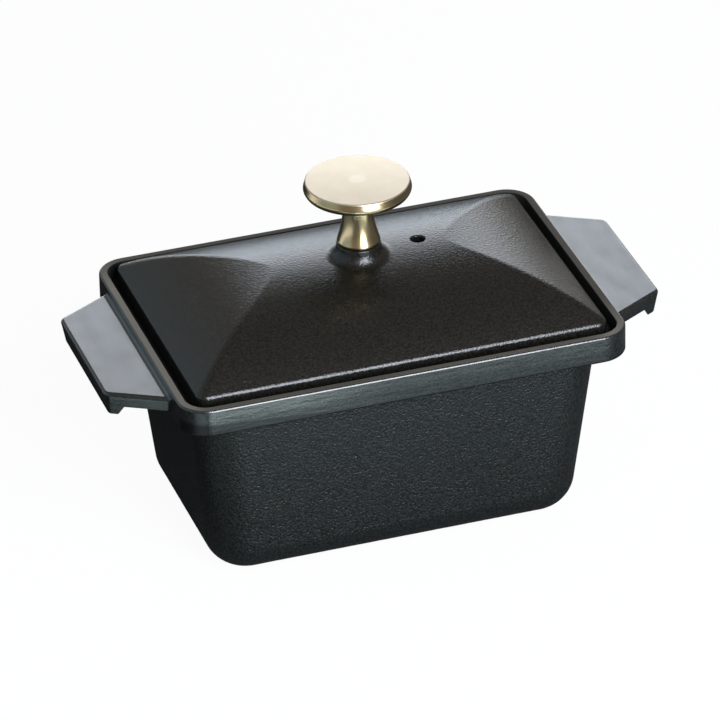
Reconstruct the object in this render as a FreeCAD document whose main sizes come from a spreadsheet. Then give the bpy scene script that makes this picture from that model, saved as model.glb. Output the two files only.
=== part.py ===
# Small cast iron terrine dish with a hipped lid and a turned brass knob.
#
# Frame: +X along the long side, +Y across, +Z up. The origin is the centre of the flat foot, on the
# table. All lengths are millimetres and all angles degrees.

import FreeCAD, Part
import Sketcher
import math
import os
import types
from FreeCAD import Vector

# Every size that can be set by itself, written once.
SIZES = {
    # The dish: a leaning trough under an upright collar.
    "rim_length": 160.0,
    "rim_width": 111.0,
    "rim_corner": 10.5,
    "rim_edge_round": 0.8,
    "dish_height": 78.0,
    "collar_height": 10.0,
    "collar_foot_round": 0.9,
    "trough_setback": 7.2,
    "trough_lean": 5.8,
    "trough_corner": 14.0,
    "foot_corner": 15.0,
    "foot_round": 13.0,
    "wall": 4.0,
    "floor": 4.5,
    "throat_round": 1.5,
    # The recess in the collar that takes the lid, behind a bare ground land.
    "land_width": 2.2,
    "recess_depth": 6.0,
    "recess_edge_round": 0.3,
    "mouth_round": 1.0,
    # The lug handles, one on each short side: a tapering plate with a hooked outer edge.
    "lug_reach": 20.2,
    "lug_drop": 2.8,
    "lug_thickness": 5.3,
    "lug_shoulder": 6.6,
    "lug_side_slant": 29.7,
    "lug_corner": 3.4,
    "lug_edge_round": 1.1,
    "lug_root_round": 1.6,
    "lug_draft": 11.0,
    "hook_depth": 9.2,
    "hook_width": 2.7,
    "hook_inner_lean": 26.0,
    "hook_foot_round": 1.2,
    # The lid: four vaulted faces that meet in soft hips, over a hollow of the same form.
    "lid_gap": 3.5,
    "lid_corner": 4.0,
    "lid_edge_height": 7.2,
    "lid_rise": 16.1,
    "lid_ridge": 53.0,
    "hip_step": 0.15,
    "hip_round": 5.0,
    "hollow_round": 2.0,
    "lid_edge_round": 1.6,
    "roof": 4.0,
    "lip_clearance": 1.0,
    "lip_width": 3.0,
    "lip_drop": 3.0,
    # The field of small cones inside the lid that lets the steam drip back.
    "basting_pitch": 17.0,
    "basting_drop": 2.2,
    "basting_tip_radius": 0.7,
    "basting_root_radius": 2.0,
    # The boss under the knob, its pillar inside the lid, and the vent.
    "boss_height": 4.8,
    "boss_top_radius": 7.7,
    "boss_foot_radius": 8.5,
    "boss_fillet": 4.2,
    "boss_edge_round": 0.5,
    "pillar_radius": 8.0,
    "pillar_drop": 3.0,
    "vent_radius": 2.5,
    "vent_offset": 22.2,
    "vent_aside": 2.6,
    "vent_edge_round": 0.5,
    # The knob: a thick disc with a slightly crowned top, on a flared stem.
    "knob_height": 24.3,
    "disc_radius": 18.75,
    "disc_top_radius": 17.95,
    "disc_thickness": 4.5,
    "disc_belt_height": 1.4,
    "disc_crown": 0.3,
    "disc_edge_round": 0.5,
    "disc_belt_round": 1.5,
    "disc_underside_drop": 0.8,
    "neck_round": 1.2,
    "stem_waist_radius": 5.4,
    "stem_foot_radius": 7.5,
    "stem_foot_band": 1.3,
    "stem_foot_chamfer": 0.8,
    "stem_flare_radius": 42.0,
    # The screw that holds the knob from below.
    "screw_radius": 3.0,
    "screw_head_radius": 5.5,
    "screw_head_height": 3.3,
    "screw_head_crown": 1.5,
    "screw_point_chamfer": 0.8,
    "screw_grip": 9.0,
    "screw_slot_width": 1.4,
    "screw_slot_depth": 1.6,
    "screw_hole_clearance": 0.3,
    "thread_clearance": 0.1,
    "thread_runout": 2.0,
}

# Columns and rows of basting points on each side of the middle one. Those fewer than CLEAR_STEPS
# steps from the middle are left out, which makes room for the pillar and the vent.
BASTING_COLUMNS = 3
BASTING_ROWS = 2
CLEAR_STEPS = 2

# How closely two measured lengths agree when they belong to the same edge.
SLACK = 0.01


class Size:
    """A size that carries its number and the sheet formula that gives it."""

    def __init__(self, number, text):
        self.number = number
        self.text = text

    def __add__(self, other):
        other = as_size(other)
        return Size(self.number + other.number, "(%s + %s)" % (self.text, other.text))

    def __sub__(self, other):
        other = as_size(other)
        return Size(self.number - other.number, "(%s - %s)" % (self.text, other.text))

    def __mul__(self, other):
        other = as_size(other)
        return Size(self.number * other.number, "(%s * %s)" % (self.text, other.text))

    def __truediv__(self, other):
        other = as_size(other)
        return Size(self.number / other.number, "(%s / %s)" % (self.text, other.text))

    def __neg__(self):
        return Size(-self.number, "(0 - %s)" % self.text)

    __radd__ = __add__
    __rmul__ = __mul__


def as_size(value):
    if isinstance(value, Size):
        return value
    return Size(float(value), "%.9g" % value)


def trig(name, angle):
    """sin, cos or tan of an angle in degrees."""
    angle = as_size(angle)
    number = getattr(math, name)(math.radians(angle.number))
    return Size(number, "%s(%s)" % (name, angle.text))


def square(size):
    return size * size


def square_root(size):
    return Size(math.sqrt(size.number), "sqrt(%s)" % size.text)


def arc_radius(run, rise):
    """Radius of the arc that starts level, runs out by run and falls by rise."""
    return (run * run + rise * rise) / (rise * 2)


doc = FreeCAD.newDocument("terrine_dish")
sheet = doc.addObject("Spreadsheet::Sheet", "Sizes")
for row, (alias, value) in enumerate(SIZES.items(), start=1):
    sheet.set("A%d" % row, alias)
    sheet.set("B%d" % row, repr(value))
    sheet.setAlias("B%d" % row, alias)
doc.recompute()
s = types.SimpleNamespace(**{alias: Size(value, "Sizes." + alias) for alias, value in SIZES.items()})

# Levels and spans that several pieces share.
collar_foot = s.dish_height - s.collar_height
ledge_height = s.dish_height - s.recess_depth
recess_inset = s.rim_edge_round + s.land_width
recess_length = s.rim_length - recess_inset * 2
recess_width = s.rim_width - recess_inset * 2
lean = trig("tan", s.trough_lean)


def trough_span(rim_span, height, inset):
    """Length or width of the leaning trough at a height, less an inset on both sides."""
    return rim_span - (s.trough_setback + (collar_foot - height) * lean + inset) * 2


# Building helpers

def bind(thing, prop, size):
    thing.setExpression(prop, as_size(size).text)


def new_body(name):
    body = doc.addObject("PartDesign::Body", name)
    body.Label = name
    return body


def origin_plane(body, role):
    for feature in body.Origin.OriginFeatures:
        if feature.Role == role:
            return feature


def new_sketch(body, name, role="XY_Plane", height=None):
    """A sketch on one of the body's origin planes, lifted off it by height."""
    sketch = body.newObject("Sketcher::SketchObject", name)
    sketch.AttachmentSupport = [(origin_plane(body, role), "")]
    sketch.MapMode = "FlatFace"
    if height is not None:
        bind(sketch, "AttachmentOffset.Base.z", height)
    return sketch


def constrain(sketch, size, kind, *args):
    """Add a constraint whose value comes from the sheet."""
    size = as_size(size)
    index = sketch.addConstraint(Sketcher.Constraint(kind, *args, size.number))
    sketch.setExpression("Constraints[%d]" % index, size.text)


def pin(sketch, geometry, end, across, up):
    """Hold a point at its distances from the sketch's two axes."""
    for kind, axis, size in (("DistanceX", -2, across), ("DistanceY", -1, up)):
        size = as_size(size)
        if size.text == "0":
            sketch.addConstraint(Sketcher.Constraint("PointOnObject", geometry, end, axis))
        else:
            constrain(sketch, size, kind, -1, 1, geometry, end)


def arc_geometry(start, end, radius):
    """Arc from start to end: a positive radius turns left, a negative one right."""
    chord = end - start
    middle = (start + end) * 0.5
    to_left = Vector(-chord.y, chord.x, 0).normalize()
    height = math.sqrt(max(radius * radius - chord.Length ** 2 / 4, 0))
    turns_left = radius > 0
    centre = middle + to_left * (height if turns_left else -height)
    first, last = (start, end) if turns_left else (end, start)
    circle = Part.Circle(centre, Vector(0, 0, 1), abs(radius))
    angles = [math.atan2(point.y - centre.y, point.x - centre.x) for point in (first, last)]
    if angles[1] < angles[0]:
        angles[1] += 2 * math.pi
    return Part.ArcOfCircle(circle, *angles)


def draw_outline(sketch, corners, arcs=None):
    """Closed outline through corners, with arcs as {index of the corner it leaves: radius}."""
    arcs = arcs or {}
    points = [Vector(as_size(across).number, as_size(up).number, 0) for across, up in corners]
    tails, heads = [], []
    for index, start in enumerate(points):
        end = points[(index + 1) % len(points)]
        if index in arcs:
            radius = as_size(arcs[index])
            geometry = sketch.addGeometry(arc_geometry(start, end, radius.number), False)
            forward = radius.number > 0
            constrain(sketch, radius if forward else -radius, "Radius", geometry)
        else:
            geometry = sketch.addGeometry(Part.LineSegment(start, end), False)
            forward = True
        tails.append((geometry, 1 if forward else 2))
        heads.append((geometry, 2 if forward else 1))
    for index, (across, up) in enumerate(corners):
        sketch.addConstraint(Sketcher.Constraint("Coincident", *heads[index - 1], *tails[index]))
        pin(sketch, *tails[index], across, up)


def draw_rounded_rectangle(sketch, length, width, corner):
    """Rectangle about the origin with rounded corners."""
    x = as_size(length) / 2
    y = as_size(width) / 2
    corners = [(x - corner, -y), (x, corner - y), (x, y - corner), (x - corner, y),
               (corner - x, y), (-x, y - corner), (-x, corner - y), (corner - x, -y)]
    draw_outline(sketch, corners, {0: corner, 2: corner, 4: corner, 6: corner})


def draw_circle(sketch, radius, across=0, up=0):
    across = as_size(across)
    up = as_size(up)
    circle = Part.Circle(Vector(across.number, up.number, 0), Vector(0, 0, 1), radius.number)
    geometry = sketch.addGeometry(circle, False)
    constrain(sketch, radius, "Radius", geometry)
    pin(sketch, geometry, 3, across, up)


def pad(body, sketch, name, length, midplane=False, reverse=False):
    feature = body.newObject("PartDesign::Pad", name)
    feature.Profile = sketch
    bind(feature, "Length", length)
    feature.Midplane = midplane
    feature.Reversed = reverse
    return feature


def pocket(body, sketch, name, length, midplane=False, reverse=False):
    feature = body.newObject("PartDesign::Pocket", name)
    feature.Profile = sketch
    bind(feature, "Length", length)
    feature.Midplane = midplane
    feature.Reversed = reverse
    return feature


def loft(body, kind, name, sketches):
    feature = body.newObject("PartDesign::" + kind, name)
    feature.Profile = sketches[0]
    feature.Sections = sketches[1:]
    feature.Ruled = True
    return feature


def revolve(body, sketch, name):
    """Full turn of a sketch on the XZ plane about its upright axis."""
    feature = body.newObject("PartDesign::Revolution", name)
    feature.Profile = sketch
    feature.ReferenceAxis = (sketch, ["V_Axis"])
    feature.Angle = 360
    return feature


def fillet(body, name, radius, chosen):
    """Round every edge of the body so far for which chosen(edge) is true."""
    doc.recompute()
    base = body.Tip
    names = ["Edge%d" % (index + 1) for index, edge in enumerate(base.Shape.Edges) if chosen(edge)]
    feature = body.newObject("PartDesign::Fillet", name)
    feature.Base = (base, names)
    bind(feature, "Radius", radius)
    return feature


def close(value, target):
    return abs(value - target) < SLACK


def lies_level(edge, height):
    """True for an edge that lies wholly at a height."""
    return close(edge.BoundBox.ZMin, height.number) and close(edge.BoundBox.ZMax, height.number)


def half_span(edge):
    """How far out along X and Y an edge reaches."""
    box = edge.BoundBox
    return max(abs(box.XMin), abs(box.XMax)), max(abs(box.YMin), abs(box.YMax))


# The dish

def add_trough(body):
    """The leaning outside of the trough, from its flat foot up to the collar."""
    sections = []
    for name, height, corner in (("throat_outline", collar_foot, s.trough_corner),
                                 ("foot_outline", as_size(0), s.foot_corner)):
        sketch = new_sketch(body, name, height=height)
        length = trough_span(s.rim_length, height, 0)
        width = trough_span(s.rim_width, height, 0)
        draw_rounded_rectangle(sketch, length, width, corner)
        sections.append(sketch)
    loft(body, "AdditiveLoft", "trough", sections)
    fillet(body, "foot_rounding", s.foot_round, lambda edge: lies_level(edge, as_size(0)))


def add_collar(body):
    sketch = new_sketch(body, "collar_outline", height=collar_foot)
    draw_rounded_rectangle(sketch, s.rim_length, s.rim_width, s.rim_corner)
    pad(body, sketch, "collar", s.collar_height)


def add_lugs(body):
    """Both lugs: a tapering plate with a draft, cut away underneath to leave a hooked outer edge."""
    root = s.rim_length / 2
    outer = root + s.lug_reach
    top = s.dish_height - s.lug_drop
    underside = top - s.lug_thickness
    hook_foot = top - s.hook_depth

    # The plan. It starts at a shoulder from where the rim's corner begins. Its outer corners are
    # rounded, and each rounding starts and ends where it touches the slanted side and the outer
    # edge, which follows from the angle between them.
    half_root = s.rim_width / 2 - s.rim_corner - s.lug_shoulder
    slope = trig("tan", s.lug_side_slant)
    half_end = half_root - s.lug_reach * slope
    tangent = s.lug_corner * trig("tan", (as_size(90) - s.lug_side_slant) / 2)
    buried = root - s.land_width
    half_buried = half_root + s.land_width * slope
    side_x = outer - tangent * trig("cos", s.lug_side_slant)
    side_y = half_end + tangent * trig("sin", s.lug_side_slant)
    end_y = half_end - tangent
    plan = new_sketch(body, "lug_plan", height=top)
    corners = [(buried, -half_buried), (side_x, -side_y), (outer, -end_y), (outer, end_y),
               (side_x, side_y), (buried, half_buried)]
    draw_outline(plan, corners, {1: s.lug_corner, 3: s.lug_corner})
    lug = pad(body, plan, "lug", s.hook_depth, reverse=True)
    bind(lug, "TaperAngle", -s.lug_draft)

    # What is cut away: the space under the plate, and the stub of the blank under the collar.
    hook_inner = outer - s.hook_depth * trig("tan", s.lug_draft) - s.hook_width
    hook_root = hook_inner - (underside - hook_foot) * trig("tan", s.hook_inner_lean)
    trough_end = trough_span(s.rim_length, collar_foot, 0) / 2
    below = hook_foot - s.hook_width
    under = new_sketch(body, "lug_undercut_profile", "XZ_Plane")
    corners = [(trough_end, below), (hook_inner, below), (hook_inner, hook_foot), (hook_root, underside),
               (root, underside), (root, collar_foot), (trough_end, collar_foot)]
    draw_outline(under, corners)
    undercut = pocket(body, under, "lug_undercut", s.rim_width, midplane=True)

    mirrored = body.newObject("PartDesign::Mirrored", "lug_pair")
    mirrored.Originals = [lug, undercut]
    mirrored.MirrorPlane = (origin_plane(body, "YZ_Plane"), [""])
    body.Tip = mirrored


def add_recess(body):
    """The recess for the lid, down to the ledge that carries it."""
    corner = s.rim_corner - recess_inset
    sketch = new_sketch(body, "recess_outline", height=s.dish_height)
    draw_rounded_rectangle(sketch, recess_length, recess_width, corner)
    pocket(body, sketch, "recess", s.recess_depth)


def add_cavity(body):
    """The inside of the trough, one wall inside its outside."""
    sections = []
    for name, height, corner in (("mouth_outline", ledge_height, s.trough_corner),
                                 ("floor_outline", s.floor, s.foot_corner)):
        sketch = new_sketch(body, name, height=height)
        length = trough_span(s.rim_length, height, s.wall)
        width = trough_span(s.rim_width, height, s.wall)
        draw_rounded_rectangle(sketch, length, width, corner - s.wall)
        sections.append(sketch)
    loft(body, "SubtractiveLoft", "cavity", sections)
    fillet(body, "floor_rounding", s.foot_round - s.wall, lambda edge: lies_level(edge, s.floor))


def reaches(edge, length, width):
    """True for an edge of the level outline with this length and width."""
    far_x, far_y = half_span(edge)
    return close(far_x, length.number / 2) or close(far_y, width.number / 2)


def round_dish_edges(body):
    """The soft edges of the casting, and the narrow breaks at the ground land."""
    rim = s.dish_height
    throat_length = trough_span(s.rim_length, collar_foot, 0)
    throat_width = trough_span(s.rim_width, collar_foot, 0)
    lug_top = s.dish_height - s.lug_drop
    root = s.rim_length.number / 2

    def on_rim(edge):
        return lies_level(edge, rim) and reaches(edge, s.rim_length, s.rim_width)

    def on_recess(edge):
        return lies_level(edge, rim) and reaches(edge, recess_length, recess_width)

    def on_collar_foot(edge):
        return lies_level(edge, collar_foot) and reaches(edge, s.rim_length, s.rim_width)

    def on_throat(edge):
        return lies_level(edge, collar_foot) and reaches(edge, throat_length, throat_width)

    def on_mouth(edge):
        return lies_level(edge, ledge_height) and not reaches(edge, recess_length, recess_width)

    def at_lug_root(edge):
        return close(abs(edge.BoundBox.XMin), root) and close(abs(edge.BoundBox.XMax), root)

    def on_lug_top(edge):
        return lies_level(edge, lug_top) and not at_lug_root(edge)

    def on_lug_root(edge):
        return lies_level(edge, lug_top) and at_lug_root(edge)

    def on_hook_foot(edge):
        return lies_level(edge, lug_top - s.hook_depth)

    fillet(body, "collar_foot_rounding", s.collar_foot_round, on_collar_foot)
    fillet(body, "throat_rounding", s.throat_round, on_throat)
    fillet(body, "lug_rounding", s.lug_edge_round, on_lug_top)
    fillet(body, "lug_root_rounding", s.lug_root_round, on_lug_root)
    fillet(body, "hook_rounding", s.hook_foot_round, on_hook_foot)
    fillet(body, "rim_rounding", s.rim_edge_round, on_rim)
    fillet(body, "recess_edge", s.recess_edge_round, on_recess)
    fillet(body, "mouth_rounding", s.mouth_round, on_mouth)


def make_dish():
    body = new_body("dish")
    add_trough(body)
    add_collar(body)
    add_lugs(body)
    add_recess(body)
    add_cavity(body)
    round_dish_edges(body)
    return body


# The lid, in its own frame: its seat on the ledge is at zero height.

lid_length = recess_length - s.lid_gap * 2
lid_width = recess_width - s.lid_gap * 2
lid_crest = s.lid_edge_height + s.lid_rise
end_crest = lid_crest + s.hip_step
boss_top = lid_crest + s.boss_height
lip_span_x = trough_span(s.rim_length, ledge_height, s.wall) - s.lip_clearance * 2
lip_span_y = trough_span(s.rim_width, ledge_height, s.wall) - s.lip_clearance * 2
lip_corner = s.trough_corner - s.wall - s.lip_clearance
hollow_length = lip_span_x - s.lip_width * 2
hollow_width = lip_span_y - s.lip_width * 2
hollow_crest = lid_crest - s.roof
pillar_foot = hollow_crest - s.pillar_drop

# The lid's outer arcs: one over its whole width, and one down to each end from where its ridge
# stops. The end arcs start a little above the ridge, so each meets the long faces in one smooth
# hip, which runs up from a corner, over the ridge and down to the next.
ridge_end = s.lid_ridge / 2
width_arc = arc_radius(lid_width / 2, s.lid_rise)
end_arc = arc_radius(lid_length / 2 - ridge_end, end_crest - s.lid_edge_height)


def height_over_width(y, depth):
    """Height of the long faces at y, at a depth under the lid's outer skin."""
    return lid_crest - width_arc + square_root(square(width_arc - depth) - square(y))


def height_over_ends(x, depth):
    """Height of the end faces at x, at a depth under the lid's outer skin."""
    return end_crest - end_arc + square_root(square(end_arc - depth) - square(x - ridge_end))


def add_vault(body, name, length, width, corner, foot, depth):
    """A block under a roof of four arched faces, at a depth under the lid's outer skin."""
    side = width / 2
    end = length / 2
    top = end_crest - depth
    above = top + s.roof
    outline = new_sketch(body, name + "_outline", height=foot)
    draw_rounded_rectangle(outline, length, width, corner)
    pad(body, outline, name + "_block", top - foot)

    side_height = height_over_width(side, depth)
    far_side = side + s.roof
    cut = new_sketch(body, name + "_long_arc", "YZ_Plane")
    corners = [(side, side_height), (-side, side_height), (-far_side, side_height),
               (-far_side, above), (far_side, above), (far_side, side_height)]
    draw_outline(cut, corners, {0: width_arc - depth})
    pocket(body, cut, name + "_long_faces", length + s.roof, midplane=True)

    end_height = height_over_ends(end, depth)
    far_end = end + s.roof
    cut = new_sketch(body, name + "_end_arcs", "XZ_Plane")
    for way in (1, -1):
        corners = [(end * way, end_height), (ridge_end * way, top), (ridge_end * way, above),
                   (far_end * way, above), (far_end * way, end_height)]
        draw_outline(cut, corners, {0: (end_arc - depth) * way})
    pocket(body, cut, name + "_end_faces", width + s.roof, midplane=True)

    def on_hip(edge):
        box = edge.BoundBox
        return box.ZMax > top.number - s.hip_round.number and box.XLength > s.hip_round.number

    fillet(body, name + "_hips", s.hip_round, on_hip)


def round_vault_edge(body, name, radius, corner, side_height, end_height):
    """Round the edge where the roof meets the upright sides, at about these heights."""
    low = min(side_height.number, end_height.number) - corner.number / 2
    high = max(side_height.number, end_height.number) + corner.number

    def on_edge(edge):
        box = edge.BoundBox
        return box.ZMin > low and box.ZMax < high and box.ZLength < corner.number

    fillet(body, name, radius, on_edge)


def add_lip(body):
    """The ridge under the lid that keeps it central in the mouth of the trough."""
    sketch = new_sketch(body, "lip_outline", height=as_size(0))
    draw_rounded_rectangle(sketch, lip_span_x, lip_span_y, lip_corner)
    pad(body, sketch, "lip", s.lip_drop, reverse=True)


def add_boss(body):
    """The coned boss under the knob, run out into the roof."""
    profile = new_sketch(body, "boss_profile", "XZ_Plane")
    foot = lid_crest - s.roof / 2
    corners = [(0, foot), (s.boss_foot_radius, foot), (s.boss_top_radius, boss_top), (0, boss_top)]
    draw_outline(profile, corners)
    revolve(body, profile, "boss")

    def on_boss_foot(edge):
        box = edge.BoundBox
        near = max(half_span(edge)) < s.boss_foot_radius.number + s.boss_edge_round.number
        return near and box.ZMin > foot.number and box.ZMax < lid_crest.number + s.hip_step.number

    def on_boss_top(edge):
        return lies_level(edge, boss_top)

    fillet(body, "boss_fillet", s.boss_fillet, on_boss_foot)
    fillet(body, "boss_edge", s.boss_edge_round, on_boss_top)


def add_lid_holes(body):
    """The screw hole through the boss and the steam vent beside it."""
    depth = boss_top - pillar_foot + s.roof
    sketch = new_sketch(body, "screw_hole_outline", height=boss_top)
    draw_circle(sketch, s.screw_radius + s.screw_hole_clearance)
    pocket(body, sketch, "screw_hole", depth)
    sketch = new_sketch(body, "vent_outline", height=boss_top)
    draw_circle(sketch, s.vent_radius, s.vent_offset, s.vent_aside)
    pocket(body, sketch, "vent", depth)

    def on_vent_edge(edge):
        box = edge.BoundBox
        around = close((box.XMin + box.XMax) / 2, s.vent_offset.number)
        as_wide = close(box.XLength, s.vent_radius.number * 2)
        return around and as_wide and box.ZMin > hollow_crest.number

    fillet(body, "vent_edge", s.vent_edge_round, on_vent_edge)


def make_lid_casting():
    """The lid before it is hollowed: vault, locating lip, boss and holes."""
    body = new_body("lid_casting")
    edge_height = s.lid_edge_height
    add_vault(body, "vault", lid_length, lid_width, s.lid_corner, as_size(0), as_size(0))
    round_vault_edge(body, "vault_edge", s.lid_edge_round, s.lid_corner, edge_height, edge_height)
    add_lip(body)
    add_boss(body)
    add_lid_holes(body)
    return body


def make_lid_hollow():
    """The space inside the lid, around the pillar that the screw seats on."""
    body = new_body("lid_hollow")
    corner = lip_corner - s.lip_width
    foot = -s.lip_drop - s.lip_clearance
    add_vault(body, "hollow", hollow_length, hollow_width, corner, foot, s.roof)
    side_height = height_over_width(hollow_width / 2, s.roof)
    end_height = height_over_ends(hollow_length / 2, s.roof)
    round_vault_edge(body, "hollow_edge", s.hollow_round, corner, side_height, end_height)
    sketch = new_sketch(body, "pillar_outline", height=end_crest)
    draw_circle(sketch, s.pillar_radius)
    pocket(body, sketch, "pillar", end_crest - pillar_foot)
    return body


def make_basting_points():
    """The field of small cones inside the lid, each hung from the roof above it."""
    cones = []
    columns = range(-BASTING_COLUMNS, BASTING_COLUMNS + 1)
    rows = range(-BASTING_ROWS, BASTING_ROWS + 1)
    for column in columns:
        for row in rows:
            if abs(column) + abs(row) < CLEAR_STEPS:
                continue
            x = s.basting_pitch * column
            y = s.basting_pitch * row
            heights = [height_over_width(y, s.roof)]
            if abs(x.number) > ridge_end.number:
                heights.append(height_over_ends(s.basting_pitch * abs(column), s.roof))
            roof = min(heights, key=lambda height: height.number)
            cone = doc.addObject("Part::Cone", "basting_point")
            bind(cone, "Radius1", s.basting_tip_radius)
            bind(cone, "Radius2", s.basting_root_radius)
            bind(cone, "Height", s.basting_drop + s.roof / 2)
            bind(cone, "Placement.Base.x", x)
            bind(cone, "Placement.Base.y", y)
            bind(cone, "Placement.Base.z", roof - s.basting_drop)
            cones.append(cone)
    field = doc.addObject("Part::MultiFuse", "basting_points")
    field.Shapes = cones
    return field


def make_lid():
    casting = make_lid_casting()
    hollow = make_lid_hollow()
    points = make_basting_points()
    space = doc.addObject("Part::Cut", "lid_space")
    space.Base = hollow
    space.Tool = points
    lid = doc.addObject("Part::Cut", "lid")
    lid.Label = "lid"
    lid.Base = casting
    lid.Tool = space
    bind(lid, "Placement.Base.z", ledge_height)
    return lid


# The knob and its screw, each turned, in their own frames: the seat is at zero height.

def make_knob():
    body = new_body("knob")
    disc_foot = s.knob_height - s.disc_thickness
    waist_height = disc_foot - s.disc_underside_drop
    widest = disc_foot + s.disc_belt_height
    disc_edge = s.knob_height - s.disc_crown
    profile = new_sketch(body, "knob_profile", "XZ_Plane")
    corners = [(0, 0), (s.stem_foot_radius - s.stem_foot_chamfer, 0),
               (s.stem_foot_radius, s.stem_foot_chamfer), (s.stem_foot_radius, s.stem_foot_band),
               (s.stem_waist_radius, waist_height), (s.disc_top_radius, disc_foot),
               (s.disc_radius, widest), (s.disc_top_radius, disc_edge), (0, s.knob_height)]
    crown = arc_radius(s.disc_top_radius, s.disc_crown)
    draw_outline(profile, corners, {3: -s.stem_flare_radius, 7: crown})
    revolve(body, profile, "turned_knob")

    def on_disc_edge(edge):
        far = close(max(half_span(edge)), s.disc_top_radius.number)
        return far and (lies_level(edge, disc_foot) or lies_level(edge, disc_edge))

    def on_disc_belt(edge):
        return lies_level(edge, widest)

    def on_neck(edge):
        return lies_level(edge, waist_height)

    fillet(body, "disc_edges", s.disc_edge_round, on_disc_edge)
    fillet(body, "disc_belt", s.disc_belt_round, on_disc_belt)
    fillet(body, "neck", s.neck_round, on_neck)
    sketch = new_sketch(body, "thread_outline", height=as_size(0))
    draw_circle(sketch, s.screw_radius + s.thread_clearance)
    pocket(body, sketch, "thread_bore", s.screw_grip + s.thread_runout, reverse=True)
    bind(body, "Placement.Base.z", ledge_height + boss_top)
    return body


def make_knob_screw():
    body = new_body("knob_screw")
    length = boss_top - pillar_foot + s.screw_grip
    point = s.screw_radius - s.screw_point_chamfer
    head_edge = s.screw_head_height - s.screw_head_crown
    profile = new_sketch(body, "screw_profile", "XZ_Plane")
    corners = [(0, -s.screw_head_height), (s.screw_head_radius, -head_edge), (s.screw_head_radius, 0),
               (s.screw_radius, 0), (s.screw_radius, length - s.screw_point_chamfer), (point, length),
               (0, length)]
    crown = arc_radius(s.screw_head_radius, s.screw_head_crown)
    draw_outline(profile, corners, {0: crown})
    revolve(body, profile, "turned_screw")
    slot = new_sketch(body, "slot_outline", height=-s.screw_head_height)
    across = s.screw_head_radius
    half = s.screw_slot_width / 2
    draw_outline(slot, [(-across, -half), (across, -half), (across, half), (-across, half)])
    pocket(body, slot, "slot", s.screw_slot_depth, reverse=True)
    bind(body, "Placement.Base.z", ledge_height + pillar_foot)
    return body


# Build, check and write.

pieces = [make_dish(), make_lid(), make_knob(), make_knob_screw()]
doc.recompute()
faults = [item.Name for item in doc.Objects if "Invalid" in item.State or "Error" in item.State]
for piece in pieces:
    if piece.Shape.isNull() or not piece.Shape.isValid() or len(piece.Shape.Solids) != 1:
        faults.append(piece.Label)
if faults:
    raise RuntimeError("These did not build: " + ", ".join(faults))

os.makedirs("parts", exist_ok=True)
for piece in pieces:
    print("%-11s %7.0f mm3" % (piece.Label, piece.Shape.Volume))
    piece.Shape.exportStep("parts/%s.step" % piece.Label)
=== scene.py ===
import bmesh
import bpy
import math
from functools import partial
from mathutils import Matrix, Vector


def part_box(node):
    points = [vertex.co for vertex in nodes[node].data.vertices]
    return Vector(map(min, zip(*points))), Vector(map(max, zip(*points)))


# Looks of a small cast iron terrine dish: matt black enamel, bare ground iron on the rim, a satin
# turned brass knob and a plated screw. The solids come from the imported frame.
#
# Frame: +X along the long side, +Y away from the camera, +Z up, in metres.

MM = 0.001

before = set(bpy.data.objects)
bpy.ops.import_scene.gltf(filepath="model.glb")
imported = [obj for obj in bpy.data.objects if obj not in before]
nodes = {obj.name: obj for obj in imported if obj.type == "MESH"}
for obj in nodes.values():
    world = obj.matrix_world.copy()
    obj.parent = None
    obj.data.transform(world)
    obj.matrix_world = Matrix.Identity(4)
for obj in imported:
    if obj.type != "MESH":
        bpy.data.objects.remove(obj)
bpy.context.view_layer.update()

# Levels and plan sizes of the solids, from the frame and the dish's own make-up. The land is the
# ground top of the rim, round the recess that the lid lies in.
_, dish_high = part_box("dish")
_, knob_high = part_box("knob")
RIM = dish_high.z
KNOB_TOP = knob_high.z
COLLAR_FOOT = RIM - 10 * MM
LUG_TOP = RIM - 2.8 * MM
LUG_ROOT = 80 * MM
LAND_WIDTH = 3 * MM
RECESS_X = LUG_ROOT - LAND_WIDTH
RECESS_Y = dish_high.y - LAND_WIDTH
RECESS_CORNER = 7.5 * MM

# Soft edges where the dish's finish changes, each from where it starts to where it is complete. The
# recess's edge is measured outwards from its outline.
COLLAR_EDGE = (COLLAR_FOOT - 1 * MM, COLLAR_FOOT + 1 * MM)
LUG_EDGE = (LUG_ROOT + 0.4 * MM, LUG_ROOT + 1.4 * MM)
LUG_TOP_EDGE = (LUG_TOP - 0.35 * MM, LUG_TOP - 0.1 * MM)
LAND_EDGE = (RIM - 0.06 * MM, RIM - 0.03 * MM)
RECESS_EDGE = (0.1 * MM, 0.2 * MM)
RECESS_FLOOR_EDGE = (COLLAR_FOOT, COLLAR_FOOT + 1 * MM)
GLOSS_EDGE = (COLLAR_FOOT + 8 * MM, COLLAR_FOOT + 10 * MM)

# The band of painted shade under the collar, also without gloss, which rises towards the left end.
BAND_LOWER_EDGE = (COLLAR_FOOT - 2.5 * MM, COLLAR_FOOT - 2 * MM)
BAND_UPPER_EDGE = (COLLAR_FOOT + 0.6 * MM, COLLAR_FOOT + 1.4 * MM)
BAND_END_EDGE = (LUG_ROOT - 0.5 * MM, LUG_ROOT)
BAND_RISE = 3.5 * MM
BAND_RISE_SPAN = (-70 * MM, -20 * MM)

# The land has painted light up to a line that runs slantwise over the dish, and painted shade behind it.
PAINTED_LIGHT_EDGE = (-12 * MM, 18 * MM)
PAINTED_LIGHT_SLANT = 0.6

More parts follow.
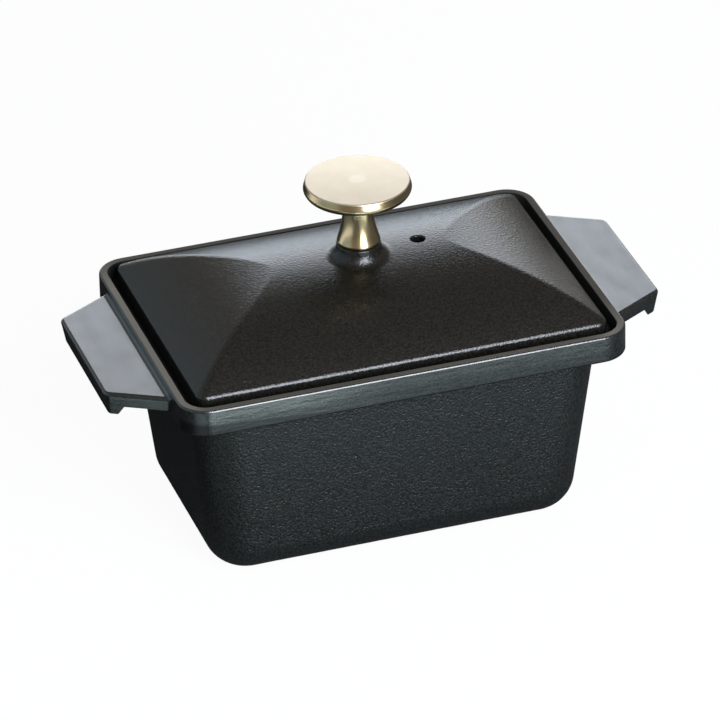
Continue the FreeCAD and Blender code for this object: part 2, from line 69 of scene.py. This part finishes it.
# Enamel: the grit of its pebble, and how high pebble and swells are drawn on the walls, the collar
# and the lid. A mottle keeps to the middle of its range, so the relief is lower than these. The
# flat lug tops keep a share of the collar's pebble.
GRIT = 0.8 * MM
WALL_PEBBLE, COLLAR_PEBBLE, LID_PEBBLE = 0.4 * MM, 0.05 * MM, 0.16 * MM
WALL_SWELL, COLLAR_SWELL, LID_SWELL = 0.01 * MM, 0.05 * MM, 0.03 * MM
LUG_TOP_SHARE = 0.1
HOLLOW_TO_TOP = (0.35, 0.65)
ENAMEL_IOR = 1.52

# How far a pattern is drawn out into long level bands.
LEVEL_BANDS = (8, 8, 1)

# Places of two colours among a Mix node's inputs, and of their mix among its outputs.
COLOUR_A, COLOUR_B, COLOUR_MIX = 6, 7, 2

# Stretches of the table that the enamel mirrors: a pale one ahead of the dish, painted as lit, and a
# dark one beside its left end, painted as shade; each side with the start and end of its soft edge.
AHEAD_X = ((-0.07, -0.05), (0.1, 0.13))
AHEAD_Y = ((-0.185, -0.155), (-0.09, -0.045))
BESIDE_X = ((-0.3, -0.25), (-0.09, -0.07))
TABLE_HALF = 6.0

# Where the lit backdrop and the pale wall on the left lie, and the cosines at which they fade.
BACKDROP, BACKDROP_FADE, BACKDROP_LEVEL = (0.26, 0.965, 0.0), (0.9, 1.0), 3.4
LEFT_WALL, LEFT_WALL_FADE, LEFT_WALL_LEVEL = (-0.92, 0.33, 0.22), (0.5, 0.8), 0.45
STUDIO_LEVEL = 0.22

# Tints of the lamps, and the height at which a card lies over the table.
COOL_WHITE, COOLER_WHITE, CARD_TINT = "#eef5ff", "#e8f2ff", "#dcf2f2"
CARD_HEIGHT = 4 * MM

# The camera, fitted to the photograph by the dish's own edges.
AZIMUTH = math.radians(-17.78)
ELEVATION = math.radians(30.51)
ROLL = math.radians(-1.33)
DISTANCE = 2.251
TARGET = Vector((3.59 * MM, 12.79 * MM, 45 * MM))
LENS = 322.8


def linear(code):
    """A colour written as an sRGB hex value, turned to linear."""
    channels = [int(code[i:i + 2], 16) / 255 for i in (1, 3, 5)]
    return [c / 12.92 if c <= 0.04045 else ((c + 0.055) / 1.055) ** 2.4 for c in channels] + [1.0]


def add_node(tree, kind, inputs=(), output=0, **settings):
    """Add a node with its settings and links, and give one of its outputs. Its inputs come by name
    or in their own order, each as a number, a vector, a colour in hex or another node's output."""
    node = tree.nodes.new("ShaderNode" + kind)
    for name, value in settings.items():
        setattr(node, name, value)
    for socket, value in (inputs if isinstance(inputs, dict) else dict(enumerate(inputs))).items():
        if isinstance(value, bpy.types.NodeSocket):
            tree.links.new(value, node.inputs[socket])
        else:
            node.inputs[socket].default_value = linear(value) if isinstance(value, str) else value
    return node.outputs[output] if len(node.outputs) else None


def empty_tree(owner):
    """Empty the node tree of a material or the world, and give what adds nodes to it."""
    owner.use_nodes = True
    owner.node_tree.nodes.clear()
    return partial(add_node, owner.node_tree)


def new_material(name):
    """A material with no nodes yet but its Object coordinates."""
    material = bpy.data.materials.new(name)
    add = empty_tree(material)
    return material, add, add("TexCoord", output="Object")


def mottle(add, place, size, detail=2.0, stretch=(1, 1, 1)):
    """A soft irregular pattern whose spots are about as large as size, longer where stretched."""
    scale = [1 / (size * s) for s in stretch]
    mapped = add("Mapping", {"Vector": place, "Scale": scale})
    return add("TexNoise", {"Vector": mapped, "Scale": 1.0, "Detail": detail})


# Materials

def enamel_relief(add, place, pebble, swell, tall):
    """Pebble over long level swells of a given height on the wall: the pebble's pattern alone, and
    the relief of both as a normal."""
    grain = mottle(add, place, GRIT)
    fine = add("Math", [grain, pebble], operation="MULTIPLY")
    bands = mottle(add, place, tall, 1.0, LEVEL_BANDS)
    slow = add("Math", [bands, swell], operation="MULTIPLY")
    height = add("Math", [fine, slow], operation="ADD")
    return grain, add("Bump", {"Distance": 1.0, "Height": height})


def enamel_with_painted_pebble_shade(add, grain, hollow, top):
    """Enamel with painted shade in the hollows of its pebble: darker there than on its tops."""
    tops = add("MapRange", [grain, *HOLLOW_TO_TOP])
    return add("Mix", {"Factor": tops, COLOUR_A: hollow, COLOUR_B: top}, COLOUR_MIX, data_type="RGBA")


def in_lid_recess(add, place, z):
    """A mask of the recess that the lid lies in, by its rounded outline and the height of its floor."""
    straight = (RECESS_CORNER - RECESS_X, RECESS_CORNER - RECESS_Y, 0)
    folded = add("VectorMath", [place], operation="ABSOLUTE")
    beyond = add("VectorMath", [folded, (1, 1, 0), straight], operation="MULTIPLY_ADD")
    beyond = add("VectorMath", [beyond, (0, 0, 0)], operation="MAXIMUM")
    from_corner = add("VectorMath", [beyond], "Value", operation="LENGTH")
    outward = add("Math", [from_corner, RECESS_CORNER], operation="SUBTRACT")
    inside = add("MapRange", [outward, *RECESS_EDGE, 1, 0])
    above_floor = add("MapRange", [z, *RECESS_FLOOR_EDGE])
    return add("Math", [inside, above_floor], operation="MULTIPLY")


def shaded_band_under_collar(add, x, z, out):
    """A mask of the band under the collar's edge, which is painted dark as shade and left without gloss."""
    rise = add("MapRange", [x, *BAND_RISE_SPAN, BAND_RISE, 0])
    height = add("Math", [z, rise], operation="SUBTRACT")
    above = add("MapRange", [z, *BAND_LOWER_EDGE])
    below = add("MapRange", [height, *BAND_UPPER_EDGE, 1, 0])
    between_lugs = add("MapRange", [out, *BAND_END_EDGE, 1, 0])
    band = add("Math", [above, below], operation="MULTIPLY")
    return add("Math", [band, between_lugs], operation="MULTIPLY")


def collar_gloss(add, place, z, smooth, matt):
    """The glossy coat of the smooth parts: streaky, thinner low on the collar along a wavy line."""
    streak = mottle(add, place, 5 * MM, stretch=(1, 3, 1))
    streak = add("MapRange", [streak, 0.4, 0.75, 1.0, 0.7])
    coat = add("Math", [streak, matt], operation="SUBTRACT")
    coat = add("Math", [smooth, coat], operation="MULTIPLY")
    ripple = mottle(add, place, 3 * MM, stretch=LEVEL_BANDS)
    wavy_height = add("Math", [ripple, 8 * MM, z], operation="MULTIPLY_ADD")
    upper = add("MapRange", [wavy_height, *GLOSS_EDGE, 0.4, 1.0])
    return add("Math", [coat, upper], operation="MULTIPLY")


def bare_ground_iron(add, place, x, y):
    """Bare ground iron: a dull warm grey with a fine grain, with painted light in front and painted shade
    along the back and the right.
    """
    grain = mottle(add, place, 0.5 * MM, 3.0)
    # Painted light and shade: the iron ahead of a slanting line is drawn lighter than the iron behind it.
    slant = add("Math", [x, PAINTED_LIGHT_SLANT, y], operation="MULTIPLY_ADD")
    painted_lit_front = add("MapRange", [slant, *PAINTED_LIGHT_EDGE, 1, 0])
    dull = add("Mix", {"Factor": grain, COLOUR_A: "#37332b", COLOUR_B: "#504b42"}, COLOUR_MIX,
               data_type="RGBA")
    bright = add("Mix", {"Factor": grain, COLOUR_A: "#68645d", COLOUR_B: "#868279"}, COLOUR_MIX,
                 data_type="RGBA")
    iron = add("Mix", {"Factor": painted_lit_front, COLOUR_A: dull, COLOUR_B: bright}, COLOUR_MIX,
               data_type="RGBA")
    normal = add("Bump", {"Distance": 0.01 * MM, "Height": grain})
    return add("BsdfPrincipled", {"Metallic": 1.0, "Roughness": 0.6, "Base Color": iron, "Normal": normal})


def black_enamel_dish():
    """Matt black enamel, sprayed and fired on cast iron: a fine pebble that breaks up reflections on
    the walls, with painted shade in its hollows, smoother on the collar and shinier along its upper half,
    glossy on the flat lug tops, and without gloss and painted near black as shade in the recess and
    under the collar's edge. The top of the rim is bare ground iron."""
    material, add, place = new_material("black_enamel_on_cast_iron_dish")
    x, y, z = add("SeparateXYZ", [place]).node.outputs
    out = add("Math", [x], operation="ABSOLUTE")
    past_root = add("MapRange", [out, *LUG_EDGE])
    above_foot = add("MapRange", [z, *COLLAR_EDGE])
    smooth = add("Math", [above_foot, past_root], operation="MAXIMUM")
    near_top = add("MapRange", [z, *LUG_TOP_EDGE])
    lug_top = add("Math", [past_root, near_top], operation="MULTIPLY")

    pebble = add("MapRange", [smooth, 0, 1, WALL_PEBBLE, COLLAR_PEBBLE])
    lug_share = add("MapRange", [lug_top, 0, 1, 1.0, LUG_TOP_SHARE])
    pebble = add("Math", [pebble, lug_share], operation="MULTIPLY")
    swell = add("MapRange", [smooth, 0, 1, WALL_SWELL, COLLAR_SWELL])
    grain, normal = enamel_relief(add, place, pebble, swell, 1.5 * MM)

    # Painted shade: the recess and the band under the collar are drawn near black, and lose their gloss.
    in_recess = in_lid_recess(add, place, z)
    matt = add("Math", [in_recess, shaded_band_under_collar(add, x, z, out)], operation="MAXIMUM")
    enamel = enamel_with_painted_pebble_shade(add, grain, "#060707", "#1c201f")
    enamel = add("Mix", {"Factor": matt, COLOUR_A: enamel, COLOUR_B: "#040404"}, COLOUR_MIX,
                 data_type="RGBA")
    roughness = add("MapRange", [smooth, 0, 1, 0.34, 0.3])
    roughness = add("Math", [in_recess, 0.4, roughness], operation="MULTIPLY_ADD")
    coat = collar_gloss(add, place, z, smooth, matt)
    enamelled = add("BsdfPrincipled", {"IOR": ENAMEL_IOR, "Coat Roughness": 0.18, "Base Color": enamel,
                                       "Roughness": roughness, "Coat Weight": coat,
                                       "Normal": normal, "Coat Normal": normal})

    on_land = add("MapRange", [z, *LAND_EDGE])
    both = add("MixShader", [on_land, enamelled, bare_ground_iron(add, place, x, y)])
    add("OutputMaterial", {"Surface": both})
    return material


def black_enamel_lid():
    """The same enamel on the lid, a little browner, with its pebble all over."""
    material, add, place = new_material("black_enamel_on_cast_iron_lid")
    grain, normal = enamel_relief(add, place, LID_PEBBLE, LID_SWELL, 5 * MM)
    enamel = enamel_with_painted_pebble_shade(add, grain, "#0b0a08", "#1c1b18")
    shader = add("BsdfPrincipled", {"IOR": ENAMEL_IOR, "Roughness": 0.26, "Base Color": enamel,
                                    "Normal": normal})
    add("OutputMaterial", {"Surface": shader})
    return material


def turned_brass():
    """Satin brass, turned on a lathe: fine rings left by the tool, which soften reflections, and a faced
    top drawn paler as a painted highlight, palest at its centre. The rings are drawn a quarter of a
    millimetre apart."""
    material, add, place = new_material("satin_turned_brass")
    ring_pitch = 0.25 * MM
    z = add("SeparateXYZ", [place], "Z")
    across = add("VectorMath", [place, (1, 1, 0)], operation="MULTIPLY")
    radius = add("VectorMath", [across], "Value", operation="LENGTH")
    along_section = add("CombineXYZ", [radius, z])
    turning = mottle(add, along_section, ring_pitch)
    faced = add("MapRange", [z, KNOB_TOP - 0.7 * MM, KNOB_TOP - 0.4 * MM])
    depth = add("MapRange", [faced, 0, 1, 0.01 * MM, 0.004 * MM])
    height = add("Math", [turning, depth], operation="MULTIPLY")
    normal = add("Bump", {"Distance": 1.0, "Height": height})

    cloud = mottle(add, place, 6 * MM)
    centre = add("MapRange", [radius, 2.2 * MM, 3.4 * MM, 0.6, 0])
    body = add("Mix", {"Factor": cloud, COLOUR_A: "#d8c293", COLOUR_B: "#e0cda4"}, COLOUR_MIX,
               data_type="RGBA")
    # Painted highlight: the faced top is drawn paler than the body.
    top = add("Mix", {"Factor": cloud, COLOUR_A: "#cfc1a9", COLOUR_B: "#dbcfbc"}, COLOUR_MIX,
              data_type="RGBA")
    top = add("Mix", {"Factor": centre, COLOUR_A: top, COLOUR_B: "#e2d8c7"}, COLOUR_MIX, data_type="RGBA")
    brass = add("Mix", {"Factor": faced, COLOUR_A: body, COLOUR_B: top}, COLOUR_MIX, data_type="RGBA")
    roughness = add("MapRange", [faced, 0, 1, 0.2, 0.42])
    shader = add("BsdfPrincipled", {"Metallic": 1.0, "Base Color": brass, "Roughness": roughness,
                                    "Normal": normal})
    add("OutputMaterial", {"Surface": shader})
    return material


def plated_steel():
    """Zinc plated steel: a dull bluish grey with a faint cloud."""
    material, add, place = new_material("zinc_plated_steel")
    cloud = mottle(add, place, 1.5 * MM, 3.0)
    zinc = add("Mix", {"Factor": cloud, COLOUR_A: "#a9adb1", COLOUR_B: "#c3c6c8"}, COLOUR_MIX,
               data_type="RGBA")
    roughness = add("MapRange", [cloud, 0.3, 0.7, 0.3, 0.4])
    shader = add("BsdfPrincipled", {"Metallic": 1.0, "Base Color": zinc, "Roughness": roughness})
    add("OutputMaterial", {"Surface": shader})
    return material


def dress():
    """Give each solid its finish."""
    finishes = {"dish": black_enamel_dish(), "lid": black_enamel_lid(), "knob": turned_brass(),
                "knob_screw": plated_steel()}
    for name, material in finishes.items():
        for slot in nodes[name].material_slots:
            slot.material = material


# Studio

def stretch_of_table(add, value, span):
    """A mask that is full between two soft edges."""
    start, end = span
    after_start = add("MapRange", [value, *start])
    before_end = add("MapRange", [value, *end, 1, 0])
    return add("Math", [after_start, before_end], operation="MULTIPLY")


def white_paper():
    """White paper with a faint grain, which the camera sees almost white. Reflections see it as a grey
    table with painted light on a stretch ahead of the dish and painted shade on one beside it."""
    material, add, place = new_material("white_paper_table")
    seen = add("LightPath", output="Is Camera Ray")
    x, y, _ = add("SeparateXYZ", [place]).node.outputs
    # Painted light and shade on the table, seen only in reflections: a lit stretch ahead of the dish, a
    # shaded one beside its left end.
    ahead = add("Math", [stretch_of_table(add, x, AHEAD_X), stretch_of_table(add, y, AHEAD_Y)],
                operation="MULTIPLY")
    beside = stretch_of_table(add, x, BESIDE_X)
    grey = add("Mix", {"Factor": beside, COLOUR_A: "#5c5c5c", COLOUR_B: "#303030"}, COLOUR_MIX,
               data_type="RGBA")
    grey = add("Mix", {"Factor": ahead, COLOUR_A: grey, COLOUR_B: "#8a908d"}, COLOUR_MIX, data_type="RGBA")
    grain = mottle(add, place, 2 * MM)
    pale = add("Mix", {"Factor": grain, COLOUR_A: "#f2f2f2", COLOUR_B: "#f8f8f8"}, COLOUR_MIX,
               data_type="RGBA")
    colour = add("Mix", {"Factor": seen, COLOUR_A: grey, COLOUR_B: pale}, COLOUR_MIX, data_type="RGBA")
    paper = add("BsdfDiffuse", {"Color": colour})
    white = add("Emission", {"Strength": 1.0})
    share = add("Math", [seen, 0.95], operation="MULTIPLY")
    both = add("MixShader", [share, paper, white])
    add("OutputMaterial", {"Surface": both})
    return material


def white_floor():
    """A wide flat table top, with the dish's soft shadow on it."""
    mesh = bpy.data.meshes.new("table_top")
    sheet = bmesh.new()
    bmesh.ops.create_grid(sheet, x_segments=1, y_segments=1, size=TABLE_HALF)
    sheet.to_mesh(mesh)
    sheet.free()
    mesh.materials.append(white_paper())
    table = bpy.data.objects.new("table_top", mesh)
    bpy.context.scene.collection.objects.link(table)


def glow(add, way, towards, fade):
    """How near a direction is to another, between the cosines at which the glow starts and is full."""
    near = add("VectorMath", [way, towards], "Value", operation="DOT_PRODUCT")
    return add("MapRange", [near, *fade])


def surroundings():
    """A dim studio with a lit backdrop behind the dish, a cool pale wall on the left, and white where
    the camera sees it."""
    world = bpy.data.worlds.new("studio")
    bpy.context.scene.world = world
    add = empty_tree(world)
    way = add("TexCoord", output="Generated")
    behind = glow(add, way, BACKDROP, BACKDROP_FADE)
    left = glow(add, way, LEFT_WALL, LEFT_WALL_FADE)
    tint = add("Mix", {"Factor": behind, COLOUR_A: "#fff2e2", COLOUR_B: "#e2f0fc"}, COLOUR_MIX,
               data_type="RGBA")
    tint = add("Mix", {"Factor": left, COLOUR_A: tint, COLOUR_B: "#cce8f6"}, COLOUR_MIX, data_type="RGBA")
    level = add("Math", [behind, BACKDROP_LEVEL, STUDIO_LEVEL], operation="MULTIPLY_ADD")
    level = add("Math", [left, LEFT_WALL_LEVEL, level], operation="MULTIPLY_ADD")
    seen = add("LightPath", output="Is Camera Ray")
    colour = add("Mix", {"Factor": seen, COLOUR_A: tint, COLOUR_B: "#ffffff"}, COLOUR_MIX, data_type="RGBA")
    strength = add("MapRange", [seen, 0, 1, level, 1.0])
    light = add("Background", {"Color": colour, "Strength": strength})
    add("OutputWorld", {"Surface": light})


def softbox(name, place, size_x, size_y, radiance, colour=COOL_WHITE, aim=(0, 0, 60 * MM)):
    """A flat lamp of one brightness, aimed at the dish, that the camera doesn't see."""
    data = bpy.data.lights.new(name, "AREA")
    data.shape = "RECTANGLE"
    data.size = size_x
    data.size_y = size_y
    data.energy = radiance * math.pi * size_x * size_y
    data.color = linear(colour)[:3]
    lamp = bpy.data.objects.new(name, data)
    bpy.context.scene.collection.objects.link(lamp)
    place = Vector(place)
    lamp.location = place
    lamp.rotation_euler = (place - Vector(aim)).to_track_quat("Z", "Y").to_euler()
    lamp.visible_camera = False


def card(name, x, y, size_x, size_y, radiance, colour=CARD_TINT):
    """A small lamp that lies on the table and shines up, for a low glint in what mirrors it."""
    softbox(name, (x, y, CARD_HEIGHT), size_x, size_y, radiance, colour, (x, y, 1))


def lights():
    softbox("back_softbox", (0.53, 1.33, 0.72), 0.9, 0.58, 2.4, COOLER_WHITE)
    softbox("front_softbox", (0.21, -1.2, 0.62), 0.64, 1.25, 14.0)
    softbox("front_reflector", (0.36, -1.42, 0.62), 1.1, 0.8, 1.2)
    card("front_card", 0.105, -0.22, 0.18, 0.1, 1.7)
    card("front_left_card", -0.035, -0.188, 0.1, 0.036, 6.0)
    card("left_card", -0.15, -0.165, 0.1, 0.1, 0.9)
    card("lug_card", -0.128, -0.074, 0.034, 0.028, 1.5)
    card("left_table_card", -0.75, 0.15, 0.6, 1.2, 1.25, COOL_WHITE)


def camera():
    """The photograph's camera."""
    back = Vector((math.sin(AZIMUTH) * math.cos(ELEVATION),
                   -math.cos(AZIMUTH) * math.cos(ELEVATION), math.sin(ELEVATION)))
    right = (-back).cross(Vector((0, 0, 1))).normalized()
    up = right.cross(-back)
    level = Matrix((right, up, back)).transposed()
    turn = Matrix.Rotation(ROLL, 3, "Z")
    data = bpy.data.cameras.new("photo_camera")
    data.sensor_width = 36
    data.lens = LENS
    data.clip_end = 50
    view = bpy.data.objects.new("photo_camera", data)
    bpy.context.scene.collection.objects.link(view)
    view.matrix_world = Matrix.Translation(TARGET + back * DISTANCE) @ (level @ turn).to_4x4()
    bpy.context.scene.camera = view


dress()
white_floor()
surroundings()
lights()
camera()
bpy.context.scene.view_settings.view_transform = "Standard"
